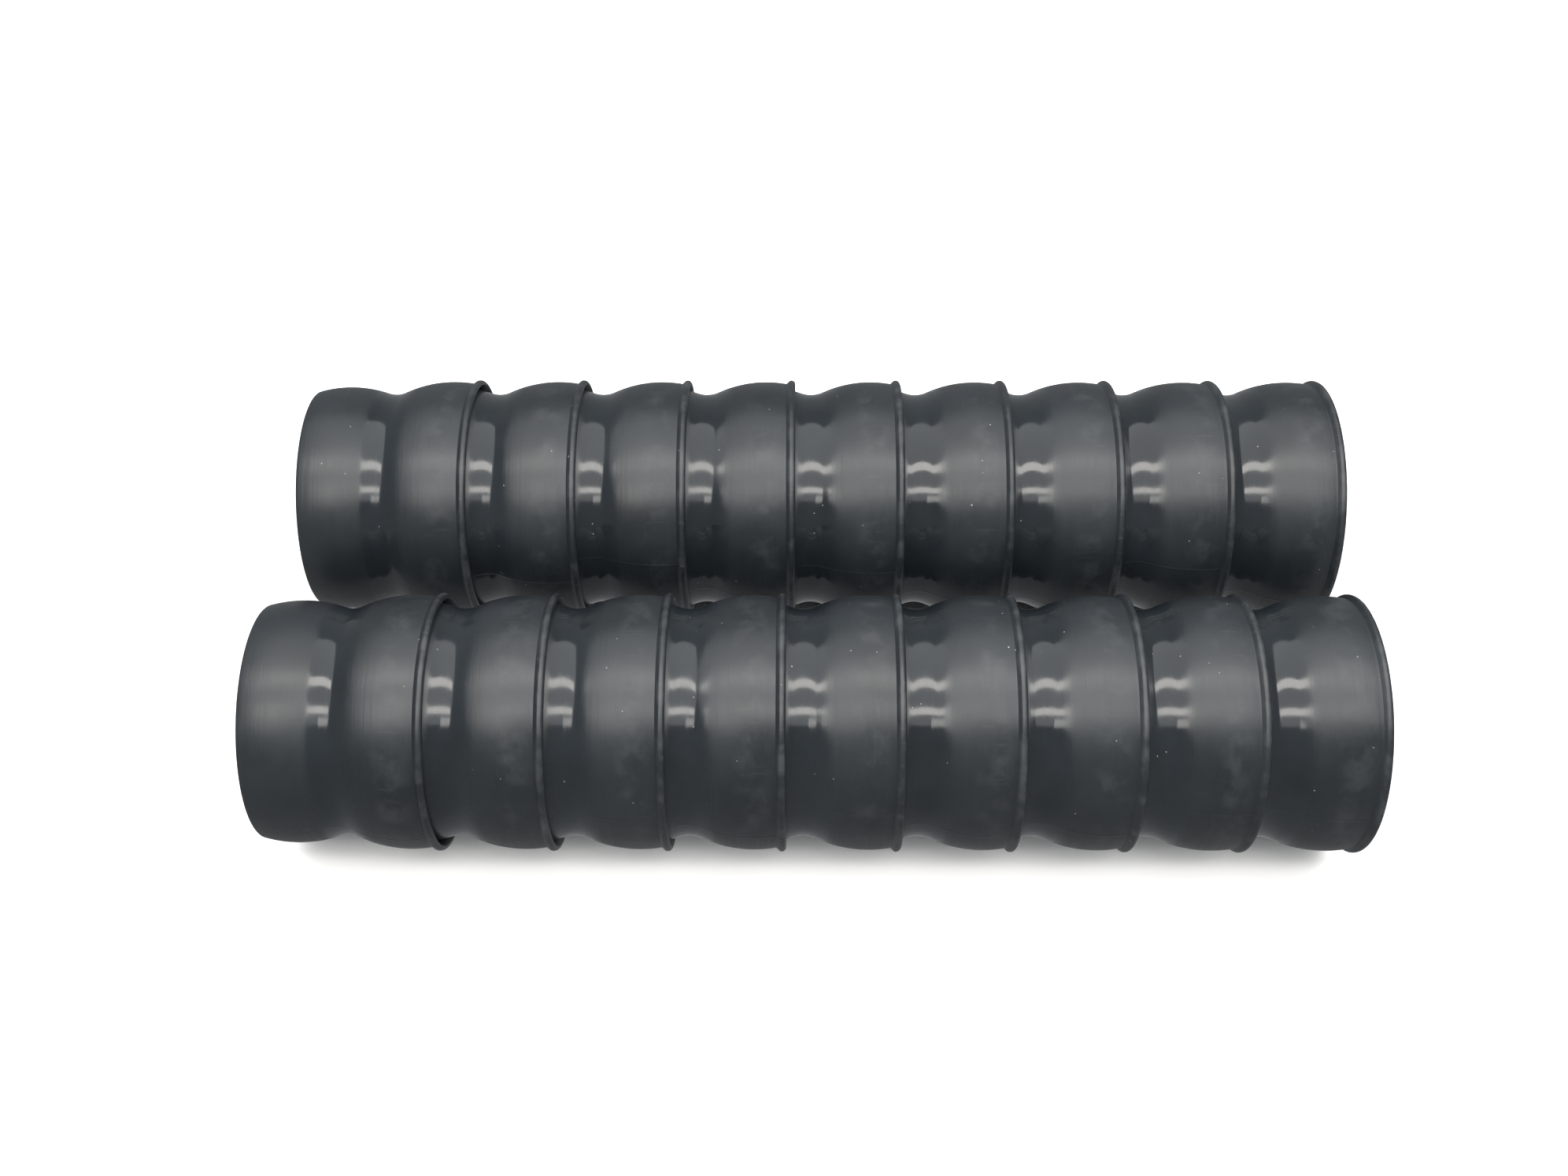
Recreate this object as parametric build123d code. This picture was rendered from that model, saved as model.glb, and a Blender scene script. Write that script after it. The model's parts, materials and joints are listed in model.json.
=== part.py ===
"""Vacuum hose: two straight lengths of snap-together hose, lying side by side on a flat surface.

Each length is a chain of identical hourglass elements moulded in black acetal. One end of an
element is a thin hollow ball, the other end a thin socket. The ball of each element snaps into
the socket of the one before it, so every joint turns about the shared centre of ball and socket.

Frame: millimetres, +Z up, +X along the hoses from the bare ball end to the open socket end,
+Y towards the rear length. The origin is the centre of the footprint, on the resting surface.
"""

from build123d import *
from math import atan2, cos, hypot, sin, sqrt
import os

# ---------------------------------------------------------------- driving dimensions, mm
elements_per_length = 9
length_gap = 8.0  # clear space between the beads of the two lengths
length_stagger = 2.5  # how much further along +X the rear length lies

pitch = 32.8  # from an element's ball centre to its socket centre
ball_radius = 35.1  # outside of the ball
joint_gap = 0.3  # running clearance between a ball and its socket
ball_wall = 1.4
socket_wall = 1.4
ball_reach = 9.4  # from the ball's centre to its open end
lip_reach = 9.2  # from the socket's centre to the end of its lip
neck_round = 9.0  # radius of the outer hollow between ball and socket

bead_width = 2.8  # stiffening bead round the lip
bead_height = 0.55  # how far the bead stands above the widest part of the socket
bead_round = 0.9
bead_foot_round = 0.3
mouth_reach = 6.6  # from the socket's centre to the mouth, where its hold on the ball ends
lead_in_rise = 1.2  # how far the chamfer from the mouth to the lip opens, to guide the ball in
edge_round = 0.35  # broken edges at the ball's open end
lead_in_round = 0.2

# ---------------------------------------------------------------- sizes that follow
socket_radius = ball_radius + joint_gap
bulge_radius = socket_radius + socket_wall
bore_ball_radius = ball_radius - ball_wall
bore_neck_round = neck_round + ball_wall
bead_radius = bulge_radius + bead_height
length_spacing = 2 * bead_radius + length_gap
chain_length = ball_reach + elements_per_length * pitch + lip_reach
first_ball_x = ball_reach - chain_length / 2
SMALLEST_FLAT = 0.05  # what a round leaves of the face beside it
FOOT_SHARE, CREST_SHARE = 0.25, 0.6  # the most of the bead's back that each round may take


def height_on(radius, offset):
    """Height of a circle of this radius at this distance along the axis from its centre."""
    return sqrt(radius**2 - offset**2)


def hollow_between(left_radius, right_radius, hollow_radius):
    """The arc that joins two circles on the axis, one at 0 and one at the pitch, and is tangent to both.

    Its centre lies outside both circles, at each one's radius plus its own. Returns that centre
    and the two points where the arc leaves the left circle and meets the right one.
    """
    to_left, to_right = left_radius + hollow_radius, right_radius + hollow_radius
    x = (pitch**2 + to_left**2 - to_right**2) / (2 * pitch)
    z = height_on(to_left, x)
    leaves = (x * left_radius / to_left, z * left_radius / to_left)
    meets = (
        pitch + (x - pitch) * right_radius / to_right,
        z * right_radius / to_right,
    )
    return (x, z), leaves, meets


def arc(centre_x, start, end, centre_z=0.0):
    """The shorter arc from start to end about a centre, as an edge in the XZ plane."""
    sides = [(x - centre_x, z - centre_z) for x, z in (start, end)]
    radius = hypot(*sides[0])
    half_way = atan2(sides[0][1] + sides[1][1], sides[0][0] + sides[1][0])
    middle = (centre_x + radius * cos(half_way), centre_z + radius * sin(half_way))
    return ThreePointArc(*((x, 0, z) for x, z in (start, middle, end)))


def straight(start, end):
    """A straight edge in the XZ plane."""
    return Line((start[0], 0, start[1]), (end[0], 0, end[1]))


def rounded(face, corner, radius):
    """The face with the vertex nearest to this corner rounded."""
    vertex = min(
        face.vertices(), key=lambda v: hypot(v.X - corner[0], v.Z - corner[1])
    )
    return face.fillet_2d(radius, [vertex])


def element_section():
    """Half section of one element: ball centre at the origin, socket centre at the pitch."""
    outer_centre, ball_ends, bulge_starts = hollow_between(
        ball_radius, bulge_radius, neck_round
    )
    inner_centre, bore_ball_ends, bore_socket_starts = hollow_between(
        bore_ball_radius, socket_radius, bore_neck_round
    )
    lip_x = pitch + lip_reach
    bead_x = lip_x - bead_width
    mouth_x = pitch + mouth_reach

    ball_rim_outer = (-ball_reach, height_on(ball_radius, ball_reach))
    ball_rim_inner = (-ball_reach, height_on(bore_ball_radius, ball_reach))
    bead_foot = (bead_x, height_on(bulge_radius, bead_x - pitch))
    bead_back = (bead_x, bead_radius)
    bead_front = (lip_x, bead_radius)
    mouth = (mouth_x, height_on(socket_radius, mouth_x - pitch))
    lip_inner = (lip_x, mouth[1] + lead_in_rise)

    outline = [
        straight(ball_rim_inner, ball_rim_outer),
        arc(0, ball_rim_outer, ball_ends),
        arc(outer_centre[0], ball_ends, bulge_starts, outer_centre[1]),
        arc(pitch, bulge_starts, bead_foot),
        straight(bead_foot, bead_back),
        straight(bead_back, bead_front),
        straight(bead_front, lip_inner),
        straight(lip_inner, mouth),
        arc(pitch, mouth, bore_socket_starts),
        arc(inner_centre[0], bore_socket_starts, bore_ball_ends, inner_centre[1]),
        arc(0, bore_ball_ends, ball_rim_inner),
    ]
    section = Face(Wire(outline))

    bead_step = bead_radius - bead_foot[1]
    foot_round = min(bead_foot_round, FOOT_SHARE * bead_step)
    crest_round = min(bead_round, CREST_SHARE * bead_step, bead_width / 2 - SMALLEST_FLAT)
    rim_round = min(edge_round, ball_wall / 2 - SMALLEST_FLAT)
    for corner, radius in (
        (bead_foot, foot_round),
        (bead_back, crest_round),
        (bead_front, crest_round),
        (mouth, lead_in_round),
        (ball_rim_outer, rim_round),
        (ball_rim_inner, rim_round),
    ):
        section = rounded(section, corner, radius)
    return section


def hose_element():
    """One moulded element, turned from its half section round the hose's centre line."""
    return revolve(element_section(), axis=Axis.X, revolution_arc=360)


def main():
    os.makedirs("parts", exist_ok=True)
    element = hose_element()
    for side, sign in (("rear", 1), ("front", -1)):
        x, y = first_ball_x + sign * length_stagger / 2, sign * length_spacing / 2
        for number in range(elements_per_length):
            place = Pos(x + number * pitch, y, bead_radius)
            export_step(place * element, f"parts/{side}_element_{number + 1}.step")
    neck = hollow_between(bore_ball_radius, socket_radius, bore_neck_round)[0]
    print(f"one length {chain_length:.2f} mm, bead diameter {2 * bead_radius:.2f} mm")
    print(f"narrowest bore {2 * (neck[1] - bore_neck_round):.2f} mm")
    print(f"element volume {element.volume:.0f} mm3")


main()
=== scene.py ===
# %% [markdown]
# # A vacuum hose of snap-together elements
#
# The object is two straight lengths of stiff, modular vacuum hose lying side by side. Each length is nine
# identical hourglass mouldings in black acetal. The narrower end of a moulding is a hollow ball, the wider
# end a socket with a beaded lip. The first ball of a length is bare, and every other ball sits inside the
# socket of the moulding before it.
#
# This lesson dresses the working model. The frame holds the true sizes and the joints. Here each moulding
# gets a finished surface of its own, with the marks that a mould leaves, and a plastic that shines where it
# was polished and is satin elsewhere.

# %% Load the frame
import json
import math

import bpy
import numpy as np
from mathutils import Matrix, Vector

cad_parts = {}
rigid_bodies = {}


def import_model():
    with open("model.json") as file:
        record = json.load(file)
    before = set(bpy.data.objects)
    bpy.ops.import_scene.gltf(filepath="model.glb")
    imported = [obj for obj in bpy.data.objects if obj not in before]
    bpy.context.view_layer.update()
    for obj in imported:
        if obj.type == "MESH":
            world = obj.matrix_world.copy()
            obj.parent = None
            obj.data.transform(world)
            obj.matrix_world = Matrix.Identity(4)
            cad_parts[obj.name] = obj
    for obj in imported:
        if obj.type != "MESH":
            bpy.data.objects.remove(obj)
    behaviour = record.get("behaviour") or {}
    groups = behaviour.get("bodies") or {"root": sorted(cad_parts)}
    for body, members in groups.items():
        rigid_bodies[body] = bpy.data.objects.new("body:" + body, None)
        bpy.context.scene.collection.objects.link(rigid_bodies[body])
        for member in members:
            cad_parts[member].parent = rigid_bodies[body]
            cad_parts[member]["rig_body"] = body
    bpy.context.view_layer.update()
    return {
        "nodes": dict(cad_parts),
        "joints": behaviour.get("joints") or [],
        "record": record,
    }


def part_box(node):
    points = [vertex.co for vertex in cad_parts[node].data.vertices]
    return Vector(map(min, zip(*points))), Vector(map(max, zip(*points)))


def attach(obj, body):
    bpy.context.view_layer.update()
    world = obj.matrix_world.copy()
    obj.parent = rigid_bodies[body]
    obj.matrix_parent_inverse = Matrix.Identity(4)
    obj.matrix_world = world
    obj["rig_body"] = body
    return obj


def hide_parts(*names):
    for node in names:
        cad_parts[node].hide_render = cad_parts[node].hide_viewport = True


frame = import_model()

# %% [markdown]
# ## Sizes
#
# Everything that the frame knows is read from it: the ball and socket spheres are mounts, the pitch is the
# distance from one ball centre to the next joint, and the beads reach the box of a moulding. What is left
# are the wall, the hollow between ball and socket, the bead and the small rounds, in millimetres. The sizes
# could all be typed in here, but then the surfaces would no longer fit once the working model changes.

# %% Sizes from the frame
MM = 0.001
mounts = {mount["name"]: mount for mount in frame["record"]["mounts"]}
joints = {joint["name"]: joint for joint in frame["joints"]}
ball_centre = mounts["rear_ball_end"]["pos_m"]
low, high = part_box("rear_element_1")

ball_radius = mounts["rear_ball_end"]["dims"]["r_mm"] * MM
socket_radius = mounts["rear_socket_end"]["dims"]["r_mm"] * MM
pitch = joints["rear_joint_1"]["pos_m"][0] - ball_centre[0]
ball_reach = ball_centre[0] - low.x
lip_reach = high.x - ball_centre[0] - pitch
bead_radius = (high.z - low.z) / 2
print(f"ball {ball_radius / MM:.2f}, pitch {pitch / MM:.2f}, bead {bead_radius / MM:.2f} mm")

# %% Sizes of the moulding itself
wall = 1.4 * MM
neck_round = 9.0 * MM
bead_width = 2.8 * MM
bead_flank = 1.15 * MM  # how far the bead's back leans
foot_round, crest_round, nose_round = 0.25 * MM, 0.9 * MM, 1.2 * MM
lead_in_length, lead_in_rise = 2.6 * MM, 1.2 * MM
rim_round, lead_in_round, lip_round = 0.35 * MM, 0.2 * MM, 0.15 * MM
bulge_radius = socket_radius + wall
print(f"the bead stands {(bead_radius - bulge_radius) / MM:.2f} mm above the bulge")

# %% [markdown]
# ## The outline of one moulding
#
# A moulding is round, so its whole shape is one closed outline turned about the hose's centre line. The
# outline is short straight lines and arcs: the ball, the hollow of the neck, the bulge of the socket, the
# bead, the lead-in, and back along the bore. A stretch is a function of how far along it a point lies, from
# 0 to 1, which makes it easy to cut a stretch short where a corner is rounded. A Bezier curve could be drawn
# by eye instead, but arcs follow from the sizes, and they meet without a kink where they share a tangent.


# %% Stretches of an outline
def straight(start, end):
    """A line: start + t * (end - start). Returns the function and its length."""
    start, end = np.array(start), np.array(end)
    return lambda t: start + np.multiply.outer(t, end - start), float(np.linalg.norm(end - start))


def arc(centre, start, end):
    """The shorter arc about a centre: centre + radius * (cos a, sin a), with a running from start to end."""
    first, last = (math.atan2(p[1] - centre[1], p[0] - centre[0]) for p in (start, end))
    turn = (last - first + math.pi) % (2 * math.pi) - math.pi
    radius = math.dist(centre, start)

    def along(t):
        angle = first + turn * np.asarray(t)
        return np.stack((centre[0] + radius * np.cos(angle), centre[1] + radius * np.sin(angle)), axis=-1)

    return along, radius * abs(turn)


def height_on(radius, offset):
    """Height of a circle about the origin at this distance along the axis."""
    return math.sqrt(radius**2 - offset**2)


# %% Hollows and rounds
def hollow_between(left_radius, right_radius, hollow_radius):
    """The arc tangent to a circle at 0 and one at the pitch: its centre lies at each radius plus its own.

    Returns the centre and the two tangent points.
    """
    to_left, to_right = left_radius + hollow_radius, right_radius + hollow_radius
    x = (pitch**2 + to_left**2 - to_right**2) / (2 * pitch)
    z = height_on(to_left, x)
    leaves = (x * left_radius / to_left, z * left_radius / to_left)
    meets = (pitch + (x - pitch) * right_radius / to_right, z * right_radius / to_right)
    return (x, z), leaves, meets


def corner_round(before, corner, after, steps):
    """Points of the circular arc from before to after that the corner's two sides touch.

    It is the rational curve ((1-t)^2 a + 2 w t (1-t) b + t^2 c) / (the same sum of weights), where the
    corner's weight w is the cosine of half the turn.
    """
    coming, going = corner - before, after - corner
    turn = math.acos(np.clip(coming @ going / np.linalg.norm(coming) / np.linalg.norm(going), -1, 1))
    t = np.linspace(0, 1, steps + 2)[1:-1, None]
    a, b, c = (1 - t) ** 2, 2 * math.cos(turn / 2) * t * (1 - t), t**2
    return (a * before + b * corner + c * after) / (a + b + c)


# %% [markdown]
# ## From stretches to points
#
# The outline starts at the open end of the ball and runs along the outside to the lip and back through the
# bore. Each row holds a stretch, how many points it gets and the round at its far end. A tight round needs
# points close together, and a long, gentle arc can do with fewer. A Bevel modifier could round the corners
# afterwards, but each corner here has a radius of its own.

# %% The rows of the outline
neck_centre, ball_ends, bulge_starts = hollow_between(ball_radius, bulge_radius, neck_round)
throat_centre, bore_ball_ends, bore_socket_starts = hollow_between(
    ball_radius - wall, socket_radius, neck_round + wall
)
lip_x = pitch + lip_reach
bead_x, mouth_x = lip_x - bead_width, lip_x - lead_in_length
rim_outer = (-ball_reach, height_on(ball_radius, ball_reach))
rim_inner = (-ball_reach, height_on(ball_radius - wall, ball_reach))
bead_foot = (bead_x, height_on(bulge_radius, bead_x - pitch))
bead_step = bead_radius - bead_foot[1]
mouth = (mouth_x, height_on(socket_radius, mouth_x - pitch))
bead_crest, bead_nose = (bead_x + bead_flank, bead_radius), (lip_x, bead_radius)
lip_inner = (lip_x, mouth[1] + lead_in_rise)
throat = (throat_centre[0], throat_centre[1] - neck_round - wall)

outline = [  # stretch, points, round at its end
    (straight(rim_inner, rim_outer), 5, rim_round),
    (arc((0, 0), rim_outer, ball_ends), 22, 0),
    (arc(neck_centre, ball_ends, bulge_starts), 22, 0),
    (arc((pitch, 0), bulge_starts, bead_foot), 26, foot_round),
    (straight(bead_foot, bead_crest), 3, crest_round),
    (straight(bead_crest, bead_nose), 1, nose_round),
    (straight(bead_nose, lip_inner), 2, lip_round),
    (straight(lip_inner, mouth), 4, lead_in_round),
    (arc((pitch, 0), mouth, bore_socket_starts), 20, 0),
    (arc(throat_centre, bore_socket_starts, throat), 8, 0),
    (arc(throat_centre, throat, bore_ball_ends), 8, 0),
    (arc((0, 0), bore_ball_ends, rim_inner), 14, rim_round),
]
print(f"narrowest bore {2 * throat[1] / MM:.2f} mm, bead step {bead_step / MM:.2f} mm")


# %% Room that the rounds need
def round_cuts(rows):
    """How much each round takes off its two stretches: radius * tan(turn / 2), and 0 where there is none."""
    cuts = []
    for ((along, _), _, radius), ((following, _), _, _) in zip(rows, rows[1:] + rows[:1]):
        coming, going = along(1.0) - along(0.999), following(0.001) - following(0.0)
        cosine = coming @ going / np.linalg.norm(coming) / np.linalg.norm(going)
        cuts.append(radius * math.tan(math.acos(min(cosine, 1.0)) / 2) if radius else 0.0)
    return cuts


# %% Walk round the outline
def outline_points(rows, round_steps=6):
    """All points of a closed outline, as an array of (along the axis, from the axis)."""
    cuts = round_cuts(rows)
    points = []
    for index, ((along, length), count, radius) in enumerate(rows):
        following, following_length = rows[(index + 1) % len(rows)][0]
        stop = 1 - cuts[index] / length
        points.append(along(np.linspace(cuts[index - 1] / length, stop, count + 1)[: count + bool(radius)]))
        if radius:
            start_after = following(cuts[index] / following_length)
            points.append(corner_round(along(stop), along(1.0), start_after, round_steps))
    return np.concatenate(points)


section = outline_points(outline)
print(f"{len(section)} points in the outline")

# %% [markdown]
# ## Where the surface is polished, and where it is rubbed
#
# The mould was polished where it forms the hollow of the neck, and that hollow never touches anything. The
# seat of the ball and the outside of the socket have a satin grain, and the beads and bulges are what rubs
# on floors and bags. Both could be painted on by hand as weights. Here they are measured along the outline,
# stored on the mesh and read by the plastic, so they stay in place when a size changes.


# %% Outside and inside
def smooth_step(value, start, end):
    """0 before start and 1 after end, with the curve 3 t^2 - 2 t^3 between them."""
    t = np.clip((value - start) / (end - start), 0, 1)
    return t * t * (3 - 2 * t)


# The middle of the wall at five places along the axis tells the outside from the bore.
along_axis, from_axis = section.T
neck_middle = (neck_centre[1] - neck_round + throat[1]) / 2
places = (-ball_reach, 0, neck_centre[0], pitch, lip_x)
ball_middle, socket_middle = ball_radius - wall / 2, socket_radius + wall / 2
lip_middle = socket_radius + wall / 4
middle = np.interp(along_axis, places, (ball_middle, ball_middle, neck_middle, socket_middle, lip_middle))
edge_softness = 0.3 * MM
outside = smooth_step(from_axis - middle, -edge_softness, edge_softness)
print(f"{np.mean(outside > 0.5):.0%} of the outline's points are outside")

# %% Where polish and rub start and end
seat_ends, polish_starts = lip_reach - 0.5 * MM, lip_reach + 1.5 * MM
polish_ends = bulge_starts[0] + 0.5 * MM
grain_starts = polish_ends + 5 * MM
rub_starts = bulge_radius - 0.6 * MM
past_seat = smooth_step(along_axis, seat_ends, polish_starts)
before_grain = 1 - smooth_step(along_axis, polish_ends, grain_starts)
polish = outside * past_seat * before_grain
rub = outside * smooth_step(from_axis, rub_starts, bead_radius)
print(f"polished over {np.mean(polish > 0.5):.0%} of the outline")

# %% [markdown]
# ## What the mould leaves
#
# An undercut like this neck comes out of a split mould, so a thin parting line runs along both sides. Two
# cores form the bore and meet at its throat, which leaves a witness ring. The gate left a nib on the ball's
# rim. All are under a quarter of a millimetre high, and moulded tubes are also a little out of round. The
# marks could be a bump in the plastic alone, but as real relief they are also there on the bare mesh.

# %% Sizes of the mould marks
parting_height, parting_width = 0.07 * MM, 0.22 * MM
seat_share = 0.4  # the line is dressed down where the ball has to slide
witness_height, witness_width = 0.08 * MM, 0.35 * MM
gate_height, gate_width = 0.22 * MM, 0.8 * MM
waviness = 0.03 * MM
wave_counts = np.arange(2, 6)
around_steps = 216
line_steps = np.array([-3, -1.8, -1, -0.5, 0, 0.5, 1, 1.8, 3]) * parting_width  # closest at the crest

# %% Angles round the moulding
even = (np.arange(around_steps) + 0.5) * 2 * math.pi / around_steps
near_line = np.concatenate([side + line_steps / bulge_radius for side in (0, math.pi)])
half_gap = line_steps[-1] / bulge_radius
off_line = np.abs((even + math.pi / 2) % math.pi - math.pi / 2) > half_gap * 1.2
angles = np.sort(np.concatenate((even[off_line], near_line % (2 * math.pi))))
print(f"{len(angles)} points round, {2 * len(angles) * len(section)} triangles a moulding")


# %% Marks as heights over the grid
def bump(distance, width):
    """A bell of height 1: exp of minus the square of distance over width."""
    return np.exp(-((distance / width) ** 2))


def mould_marks(angle, phases):
    """How far the surface moves out along the radius, for every point of the outline and every angle.

    The parting line is a bell across the two split lines, outside only. The witness ring is a bell along the
    axis at the throat, inwards. The waviness is a sum of cosines with 2 to 5 waves round the moulding.
    """
    from_line = bulge_radius * np.arcsin(np.abs(np.sin(angle)))
    on_ball = 1 - smooth_step(along_axis, ball_ends[0] - 2 * MM, ball_ends[0] + 1 * MM)
    line = parting_height * outside * (1 - (1 - seat_share) * on_ball)
    ring = witness_height * (1 - outside) * bump(along_axis - throat[0], witness_width)
    drift = np.multiply.outer(along_axis / pitch, wave_counts)[:, None, :]
    swell = np.cos(wave_counts * angle[None, :, None] + phases + drift).sum(axis=-1) / len(wave_counts)
    return line[:, None] * bump(from_line, parting_width) - ring[:, None] + waviness * swell


def gate_nib(angle):
    """How far the ball's rim stands out along the axis at the gate: a bell round one point of the rim."""
    rim_middle = (rim_outer[1] + rim_inner[1]) / 2
    round_way = rim_middle * (angle - math.pi)
    spread = np.hypot(round_way[None, :] / gate_width, (from_axis[:, None] - rim_middle) / (gate_width / 2))
    return gate_height * np.exp(-(spread**4)) * (along_axis[:, None] < -ball_reach + rim_round)


# %% [markdown]
# ## Turning the outline into a moulding
#
# The outline and the angles make a grid that closes on itself both ways, like a ring doughnut, so the
# surface has no ends, poles or seams. A Screw modifier would turn an outline too, but the marks change with
# the angle, so each point is worked out here, and all of them at once as arrays. The finished mesh already
# lies where the frame has its moulding, and its object stays at the origin.


# %% Quads of a closed grid
def closed_grid(rows, columns):
    """Corner numbers of the quads of a grid whose last row and column join the first ones."""
    row, column = np.divmod(np.arange(rows * columns), columns)
    next_row, next_column = (row + 1) % rows * columns, (column + 1) % columns
    return np.stack((row * columns + column, row * columns + next_column,
                     next_row + next_column, next_row + column), axis=1)


def signed_volume(points, quads):
    """Volume inside a closed surface: a sixth of the sum of a . (b x c) over its triangles."""
    a, b, c, d = (points[quads[:, corner]] for corner in range(4))
    return (np.einsum("ij,ij->", a, np.cross(b, c)) + np.einsum("ij,ij->", a, np.cross(c, d))) / 6


# %% The points of one moulding
def ball_centre_of(node_name):
    """Centre of a moulding's ball: its reach in from the low end of the frame's box, halfway across it."""
    lowest, highest = (np.array(corner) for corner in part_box(node_name))
    return np.array((lowest[0] + ball_reach, *((lowest + highest) / 2)[1:]))


def moulding_points(centre, spin, phases):
    """All points about a ball centre: (x, y + r cos(a + spin), z + r sin(a + spin)) over the grid."""
    radius = from_axis[:, None] + mould_marks(angles, phases)
    along = along_axis[:, None] - gate_nib(angles)
    turned = angles + spin
    across, up = radius * np.cos(turned), radius * np.sin(turned)
    return np.stack((centre[0] + along, centre[1] + across, centre[2] + up), axis=-1).reshape(-1, 3)


# %% One moulding as a mesh
def moulding(name, centre, spin, phases):
    """A closed mesh with its faces outwards, and polish and rub stored on its points."""
    points = moulding_points(centre, spin, phases)
    quads = closed_grid(len(section), len(angles))
    if signed_volume(points - centre, quads) < 0:
        quads = quads[:, ::-1]

    mesh = bpy.data.meshes.new(name)
    mesh.vertices.add(len(points))
    mesh.vertices.foreach_set("co", points.ravel())
    mesh.loops.add(quads.size)
    mesh.loops.foreach_set("vertex_index", quads.ravel())
    mesh.polygons.add(len(quads))
    mesh.polygons.foreach_set("loop_start", np.arange(len(quads)) * 4)
    mesh.update(calc_edges=True)
    mesh.shade_smooth()
    for label, values in (("polish", polish), ("rub", rub)):
        stored = mesh.attributes.new(label, "FLOAT", "POINT")
        stored.data.foreach_set("value", np.repeat(values, len(angles)).astype(np.float32))
    piece = bpy.data.objects.new(name, mesh)
    bpy.context.scene.collection.objects.link(piece)
    return piece


# %% Deviation from the working model
def deviation(node, every=7):
    """How far the outline lies from the points of the frame's own moulding, in millimetres.

    Each frame point becomes (along the axis, from the axis), and is measured to the nearest bit of outline.
    Every seventh point is enough to find the largest gap, and takes a seventh of the time.
    """
    points = np.empty(len(node.data.vertices) * 3, np.float32)
    node.data.vertices.foreach_get("co", points)
    points = np.unique(points.reshape(-1, 3), axis=0)[::every]
    centre = ball_centre_of(node.name)
    flat = np.column_stack((points[:, 0] - centre[0], np.hypot(*(points - centre).T[1:])))
    start, end = section, np.roll(section, -1, axis=0)
    share = ((flat[:, None] - start) * (end - start)).sum(-1) / ((end - start) ** 2).sum(-1)
    nearest = start + np.clip(share, 0, 1)[..., None] * (end - start)
    return np.linalg.norm(flat[:, None] - nearest, axis=-1).min(axis=1).max() / MM


# %% All the mouldings
rng = np.random.default_rng(7)
most_spin = 0.45  # how far a moulding may be turned about the hose, in radians
pieces = []
for node_name in sorted(frame["nodes"]):
    body = frame["nodes"][node_name]["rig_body"]
    spin = rng.uniform(-most_spin, most_spin)
    phases = rng.uniform(0, 2 * math.pi, len(wave_counts))
    piece = moulding(node_name + "_moulding", ball_centre_of(node_name), spin, phases)
    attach(piece, body)
    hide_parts(node_name)
    pieces.append(piece)
off_frame = deviation(frame["nodes"]["front_element_1"])
print(f"{len(pieces)} mouldings, at most {off_frame:.3f} mm off the frame")

# %% [markdown]
# ## Black acetal
#
# Moulded acetal is never one even black. It is a little cloudy where the melt flowed, satin on the outside
# and glossy where the mould was polished, greyed by fine rubs on whatever stands proud, and it holds dust.
# The mould was turned on a lathe, so faint turning marks run round the moulding too: noise that is squeezed
# along the axis and long in the other two directions. All of this could be images wrapped round the hose.
# Noise on object coordinates is used instead, because it needs no unwrapping and shows no seam.


# %% A short way to add shader nodes
def add_node(tree, kind, links=(), **settings):
    """Adds a node. A setting with a capital is the value of an input socket, any other a property."""
    made = tree.nodes.new(kind)
    for name, value in settings.items():
        if name[0].isupper():
            made.inputs[name.replace("_", " ")].default_value = value
        else:
            setattr(made, name, value)
    for name, source in dict(links).items():
        tree.links.new(source, made.inputs[name])
    return made


def ramp(tree, factor, low_value, high_value, low_at=0.0, high_at=1.0):
    """A value that runs from low_value to high_value as the factor runs from low_at to high_at."""
    return add_node(tree, "ShaderNodeMapRange", {"Value": factor}, From_Min=low_at, From_Max=high_at,
                    To_Min=low_value, To_Max=high_value).outputs["Result"]


def math_node(tree, operation, *inputs):
    """A math node whose inputs are sockets or numbers."""
    made = add_node(tree, "ShaderNodeMath", operation=operation)
    for socket, value in zip(made.inputs, inputs):
        if isinstance(value, bpy.types.NodeSocket):
            tree.links.new(value, socket)
        else:
            socket.default_value = value
    return made.outputs[0]


def noise(tree, vector, scale, detail=3.0, roughness=0.5):
    """Cloudy noise from 0 to 1, with this many clouds to the metre."""
    return add_node(tree, "ShaderNodeTexNoise", {"Vector": vector}, Scale=scale, Detail=detail,
                    Roughness=roughness).outputs[0]


def specks(tree, vector, cells_a_metre, size, rarity):
    """1 on a round speck in the middle of a few random cells, and 0 between them."""
    cells = add_node(tree, "ShaderNodeTexVoronoi", {"Vector": vector}, Scale=cells_a_metre)
    draw = add_node(tree, "ShaderNodeSeparateColor", {"Color": cells.outputs["Color"]}).outputs[0]
    near = math_node(tree, "LESS_THAN", cells.outputs["Distance"], size)
    return math_node(tree, "MULTIPLY", near, math_node(tree, "GREATER_THAN", draw, rarity))


# %% Mixing two colours
def mixed(tree, factor, first, second):
    """A colour that goes from first to second with the factor. Each is a socket or a plain colour."""
    made = add_node(tree, "ShaderNodeMix", {"Factor": factor}, data_type="RGBA")
    for socket, colour in ((made.inputs[6], first), (made.inputs[7], second)):
        if isinstance(colour, bpy.types.NodeSocket):
            tree.links.new(colour, socket)
        else:
            socket.default_value = colour
    return made.outputs[2]


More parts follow.
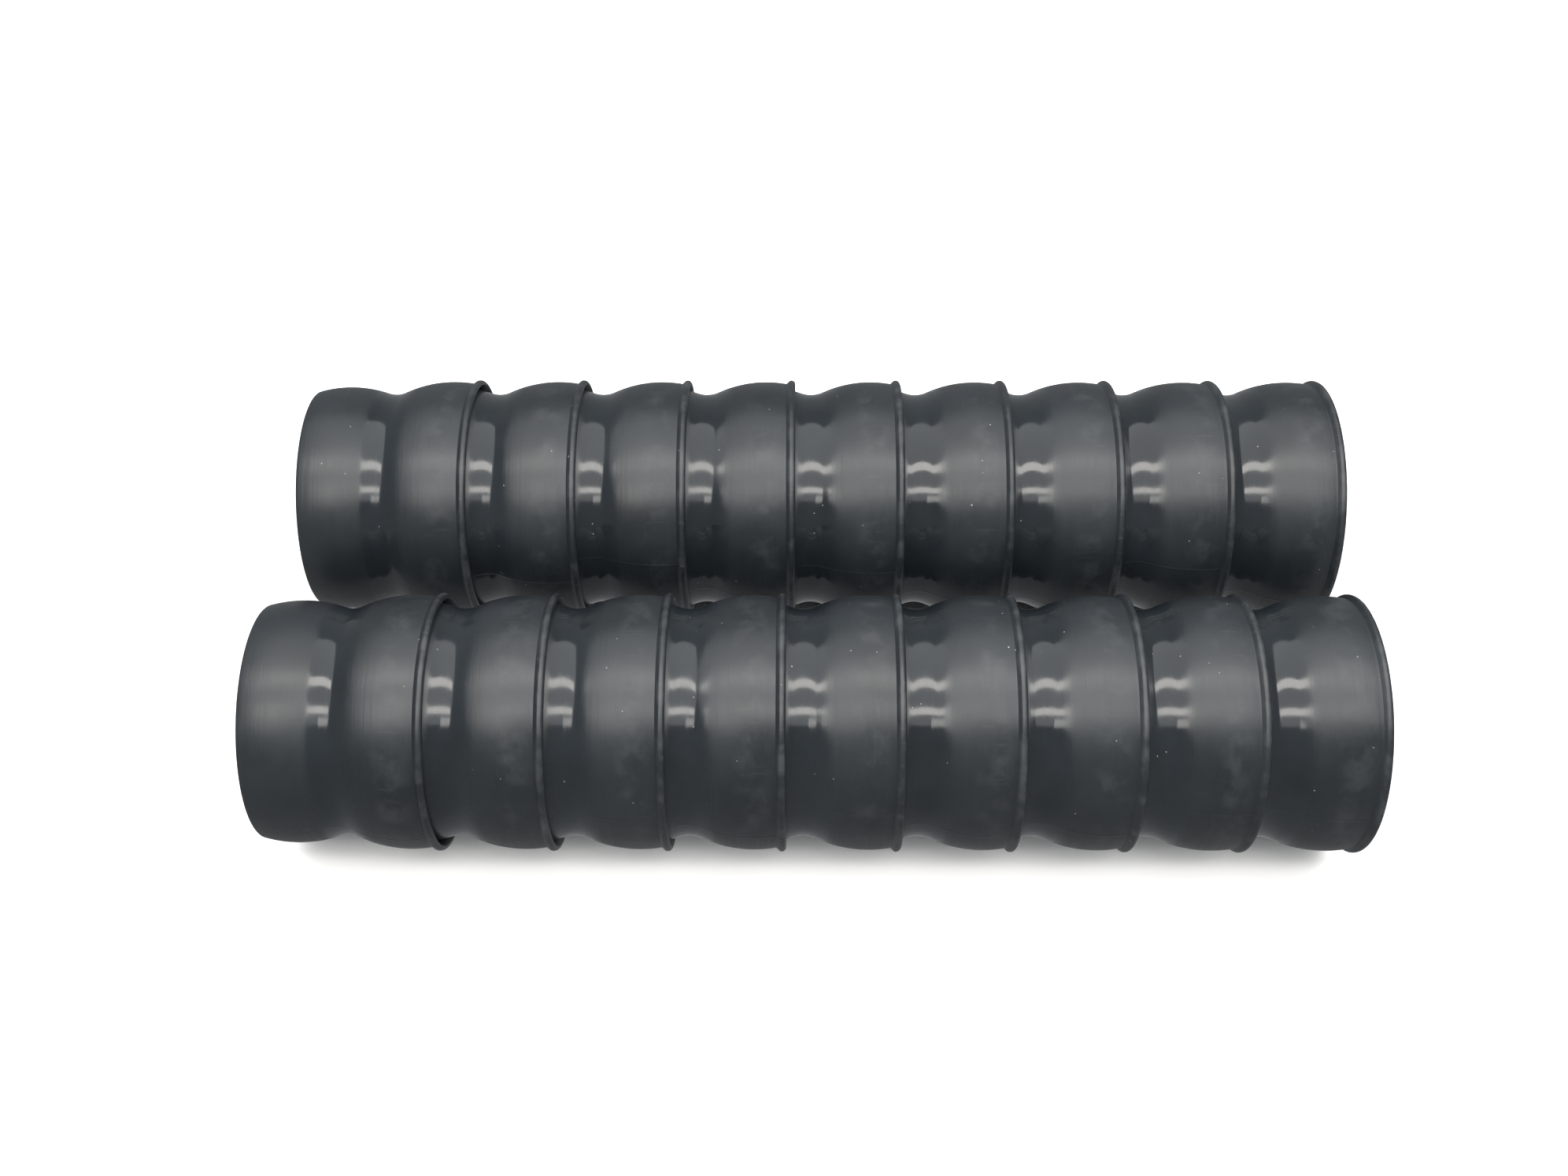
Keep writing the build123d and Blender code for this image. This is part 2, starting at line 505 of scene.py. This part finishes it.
# %% Scuffs and turning marks
def scuffing(tree, place, rubbed):
    """0 to 1: hairlines along the hose and cloudy patches, only where the plastic was rubbed."""
    drawn_out = add_node(tree, "ShaderNodeMapping", {"Vector": place}, Scale=(18, 260, 260))
    hairlines = ramp(tree, noise(tree, drawn_out.outputs[0], 4, 6, 0.6), 0, 1, 0.6, 0.72)
    patches = ramp(tree, noise(tree, place, 120, 5, 0.6), 0, 1, 0.48, 0.66)
    return math_node(tree, "MULTIPLY", math_node(tree, "MAXIMUM", hairlines, patches), rubbed)


def turning(tree, place):
    """Noise in thin rings round the hose, because the axis is squeezed 45 times more than the rest."""
    squeezed = add_node(tree, "ShaderNodeMapping", {"Vector": place}, Scale=(45, 1, 1))
    return noise(tree, squeezed.outputs[0], 28, 4, 0.6)


# %% Colour of the plastic
EVEN_BLACK, CLOUDY_BLACK = (0.0075, 0.0095, 0.0115, 1), (0.0115, 0.0145, 0.0175, 1)
SCUFF_GREY, SCUFF_SHARE = (0.11, 0.115, 0.12, 1), 0.18
DUST_GREY, DUST_SHARE = (0.5, 0.5, 0.48, 1), 0.4


def colouring(tree, place, cloud, scuff):
    """Cloudy black, greyed by the scuffs, with coarse and fine dust on top."""
    coarse, fine = specks(tree, place, 150, 0.035, 0.90), specks(tree, place, 420, 0.07, 0.93)
    dust = math_node(tree, "MAXIMUM", coarse, fine)
    black = mixed(tree, ramp(tree, cloud, 0, 1, 0.3, 0.7), EVEN_BLACK, CLOUDY_BLACK)
    greyed = mixed(tree, math_node(tree, "MULTIPLY", scuff, SCUFF_SHARE), black, SCUFF_GREY)
    return mixed(tree, math_node(tree, "MULTIPLY", dust, DUST_SHARE), greyed, DUST_GREY)


# %% Gloss and relief of the plastic
SATIN, POLISHED = 0.38, 0.12
RELIEF_HEIGHT = 0.06 * MM


def roughening(tree, polished, cloud, turning_marks, scuff):
    """Satin to polished, a little uneven with the clouds and turning marks, and rougher where scuffed."""
    streaked = math_node(tree, "ADD", ramp(tree, polished, SATIN, POLISHED),
                         ramp(tree, turning_marks, -0.03, 0.03, 0.3, 0.7))
    clouded = math_node(tree, "ADD", streaked, ramp(tree, cloud, -0.04, 0.04, 0.3, 0.7))
    return math_node(tree, "ADD", clouded, math_node(tree, "MULTIPLY", scuff, 0.08))


def relief(tree, place, polished, turning_marks):
    """Fine grain, broad orange peel and turning marks, each weaker where the mould was polished."""
    fine = math_node(tree, "MULTIPLY", noise(tree, place, 1400, 2, 0.5), ramp(tree, polished, 0.35, 0.08))
    broad = math_node(tree, "MULTIPLY", noise(tree, place, 260, 2, 0.4), ramp(tree, polished, 1.0, 0.25))
    rings = math_node(tree, "MULTIPLY", turning_marks, ramp(tree, polished, 2.4, 0.2))
    height = math_node(tree, "ADD", math_node(tree, "ADD", fine, broad), rings)
    return add_node(tree, "ShaderNodeBump", {"Height": height}, Strength=0.35, Distance=RELIEF_HEIGHT)


# %% The plastic
def black_acetal():
    """Principled plastic: its colour, roughness and relief come from noise on object coordinates."""
    material = bpy.data.materials.new("black_acetal")
    material.use_nodes = True
    tree = material.node_tree
    tree.nodes.clear()
    place = add_node(tree, "ShaderNodeTexCoord").outputs["Object"]
    polished = add_node(tree, "ShaderNodeAttribute", attribute_name="polish").outputs["Fac"]
    rubbed = add_node(tree, "ShaderNodeAttribute", attribute_name="rub").outputs["Fac"]
    cloud, turning_marks = noise(tree, place, 45, 4, 0.55), turning(tree, place)
    scuff = scuffing(tree, place, rubbed)
    plastic = add_node(tree, "ShaderNodeBsdfPrincipled", {
        "Base Color": colouring(tree, place, cloud, scuff),
        "Roughness": roughening(tree, polished, cloud, turning_marks, scuff),
        "Normal": relief(tree, place, polished, turning_marks).outputs[0],
    }, IOR=1.48)
    add_node(tree, "ShaderNodeOutputMaterial", {"Surface": plastic.outputs[0]})
    return material


acetal = black_acetal()
for piece in pieces:
    piece.data.materials.append(acetal)
for node in frame["nodes"].values():
    node.data.materials.clear()
    node.data.materials.append(acetal)
print(f"{len(acetal.node_tree.nodes)} shader nodes in {acetal.name}")

# %% [markdown]
# ## The studio
#
# A small white tent: a pale floor, even white light from all round, two long strip lights close overhead
# and a short one at the near left corner. They draw the short bright dashes in every neck, because a hollow
# only mirrors them where it faces up. One large soft lamp would be simpler, but black plastic shows its shape
# only by what it mirrors. The floor is kept out of the reflections, so the sides of the hose stay dark.

# %% Floor
floor_mesh = bpy.data.meshes.new("floor")
reach = 8.0
corners = [(-reach, -reach, 0), (reach, -reach, 0), (reach, reach, 0), (-reach, reach, 0)]
floor_mesh.from_pydata(corners, [], [(0, 1, 2, 3)])
floor = bpy.data.objects.new("floor", floor_mesh)
bpy.context.scene.collection.objects.link(floor)
paper = bpy.data.materials.new("white_paper")
paper.use_nodes = True
paper_shader = paper.node_tree.nodes["Principled BSDF"]
paper_shader.inputs["Base Color"].default_value = (0.86, 0.86, 0.86, 1)
paper_shader.inputs["Roughness"].default_value = 0.7
floor_mesh.materials.append(paper)
floor.visible_glossy = False
print(f"a pale floor, {2 * reach:.0f} m wide")


# %% Lights
def panel(name, place, width, depth, brightness, colour=(1, 1, 1)):
    """A flat light facing down. Its power is pi * area * brightness, and a mirror shows the brightness."""
    lamp = bpy.data.lights.new(name, "AREA")
    lamp.shape, lamp.size, lamp.size_y = "RECTANGLE", width, depth
    lamp.energy, lamp.color = math.pi * width * depth * brightness, colour
    made = bpy.data.objects.new(name, lamp)
    made.location = place
    made.visible_camera = False
    bpy.context.scene.collection.objects.link(made)


TENT_HEIGHT = 0.47
WARM = (1.0, 0.965, 0.91)
panel("near_strip", (0.02, -0.205, TENT_HEIGHT), 0.91, 0.06, 8.5, WARM)
panel("far_strip", (0.02, 0.010, TENT_HEIGHT), 0.91, 0.07, 8.5, WARM)
panel("corner_strip", (-0.30, -0.315, TENT_HEIGHT), 0.32, 0.09, 4.5, WARM)
panel("tent_roof", (0, 0.12, TENT_HEIGHT + 0.02), 1.0, 0.95, 1.75)
print("two strips, a corner lamp and a white roof")

# %% Soft daylight for the floor, and the walls of the tent
sky = bpy.data.lights.new("soft_daylight", "SUN")
sky.energy, sky.angle = 2.6, math.radians(100)
daylight = bpy.data.objects.new("soft_daylight", sky)
daylight.visible_glossy = False
bpy.context.scene.collection.objects.link(daylight)

world = bpy.data.worlds.new("white_tent")
world.use_nodes = True
tent = world.node_tree
walls, backdrop = tent.nodes["Background"], tent.nodes.new("ShaderNodeBackground")
walls.inputs["Color"].default_value, walls.inputs["Strength"].default_value = (0.95, 0.98, 1, 1), 0.32
backdrop.inputs["Color"].default_value = (0.905, 0.913, 0.922, 1)
chooser, seen = tent.nodes.new("ShaderNodeMixShader"), tent.nodes.new("ShaderNodeLightPath")
for source, target in (
    (seen.outputs["Is Camera Ray"], chooser.inputs[0]),
    (walls.outputs[0], chooser.inputs[1]),
    (backdrop.outputs[0], chooser.inputs[2]),
    (chooser.outputs[0], tent.nodes["World Output"].inputs[0]),
):
    tent.links.new(source, target)
bpy.context.scene.world = world
bpy.context.scene.view_settings.view_transform = "Standard"
print("dim walls, and a backdrop as pale as the far floor")

# %% [markdown]
# ## The camera
#
# It looks steeply down on the hoses from the front, a little left of their middle and almost level. The
# columns of its matrix are the directions to its right, up and backwards. Three Euler angles could give the
# same, but with vectors the look down, the small pan and the small roll each keep a plain meaning.

# %% Camera
eye = (-6.07 * MM, -300.94 * MM, 470.40 * MM)
down_angle, pan, roll = (math.radians(angle) for angle in (54.641, -0.595, 0.397))
ahead, drop = math.cos(down_angle), math.sin(down_angle)
forward = np.array((math.sin(pan) * ahead, math.cos(pan) * ahead, -drop))
level = np.cross(forward, (0, 0, 1)) / ahead
below = np.cross(forward, level)
right = math.cos(roll) * level + math.sin(roll) * below
down = -math.sin(roll) * level + math.cos(roll) * below
lens = bpy.data.cameras.new("camera")
lens.lens, lens.sensor_width, lens.clip_start, lens.clip_end = 39.72, 36.0, 0.01, 50.0
camera = bpy.data.objects.new("camera", lens)
axes = Matrix(np.column_stack((right, -down, -forward)).tolist()).to_4x4()
camera.matrix_world = Matrix.Translation(eye) @ axes
bpy.context.scene.collection.objects.link(camera)
bpy.context.scene.camera = camera
print(f"{lens.lens:.1f} mm lens, looking down {math.degrees(down_angle):.0f} degrees")
